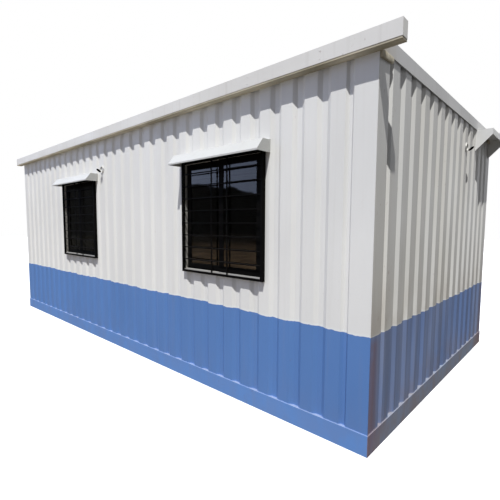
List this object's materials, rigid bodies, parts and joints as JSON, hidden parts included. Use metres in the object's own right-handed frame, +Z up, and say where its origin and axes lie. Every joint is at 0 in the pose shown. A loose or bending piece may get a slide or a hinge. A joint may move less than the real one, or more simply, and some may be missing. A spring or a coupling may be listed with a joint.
{
  "type": "portable cabin",
  "caption": "Flat-roofed steel cabin with pressed ribbed walls, a channel base, barred sliding windows under rain hoods and a closed door.",
  "frame": {"origin": "middle of the cabin on the underside of its base", "axes": "+X along the cabin towards the short wall with the canopy, -Y out of the wall with two windows, +Z up"},
  "size_m": [6.396, 3.328, 2.472],
  "materials": {
    "window_frame": "powder coated, satin",
    "grille_black": "black enamel",
    "trim_paint": "white enamel on folded sheet",
    "sash_black": "black powder coat, satin",
    "base_paint": "blue enamel",
    "frame_steel": "red-brown primer",
    "inner_board": "pale laminated lining board",
    "cladding_paint": "white gloss enamel over pressed sheet, with a blue band below",
    "door_paint": "white enamel",
    "floor_board": "cement-bonded board",
    "roof_sheet": "white enamel, dusty",
    "sleeve": "pale grey plastic",
    "soffit_board": "weathered board",
    "window_glass": "clear float glass"
  },
  "bodies": {
    "root": {"back_window_frame": "window_frame", "back_window_grille": "grille_black", "back_window_hood": "trim_paint", "back_window_sashes": "sash_black", "base_channel_back": "base_paint", "base_channel_front": "base_paint", "base_channel_left": "base_paint", "base_channel_right": "base_paint", "base_joists": "frame_steel", "ceiling": "inner_board", "cladding_back": "cladding_paint", "cladding_front": "cladding_paint", "cladding_left": "cladding_paint", "cladding_right": "cladding_paint", "corner_posts": "frame_steel", "door_frame": "door_paint", "door_hood": "trim_paint", "door_leaf": "door_paint", "end_canopy": "trim_paint", "fascia_back": "trim_paint", "fascia_front": "trim_paint", "fascia_left": "trim_paint", "fascia_right": "trim_paint", "floor_deck": "floor_board", "front_window_far_frame": "window_frame", "front_window_far_grille": "grille_black", "front_window_far_hood": "trim_paint", "front_window_far_sashes": "sash_black", "front_window_near_frame": "window_frame", "front_window_near_grille": "grille_black", "front_window_near_hood": "trim_paint", "front_window_near_sashes": "sash_black", "inner_wall_back": "inner_board", "inner_wall_front": "inner_board", "inner_wall_left": "inner_board", "inner_wall_right": "inner_board", "rafters": "frame_steel", "roof_sheet": "roof_sheet", "service_elbow_front": "sleeve", "service_elbow_right": "sleeve", "soffit_boards": "soffit_board", "top_rails": "frame_steel", "window_glass": "window_glass"}
  },
  "joints": []
}
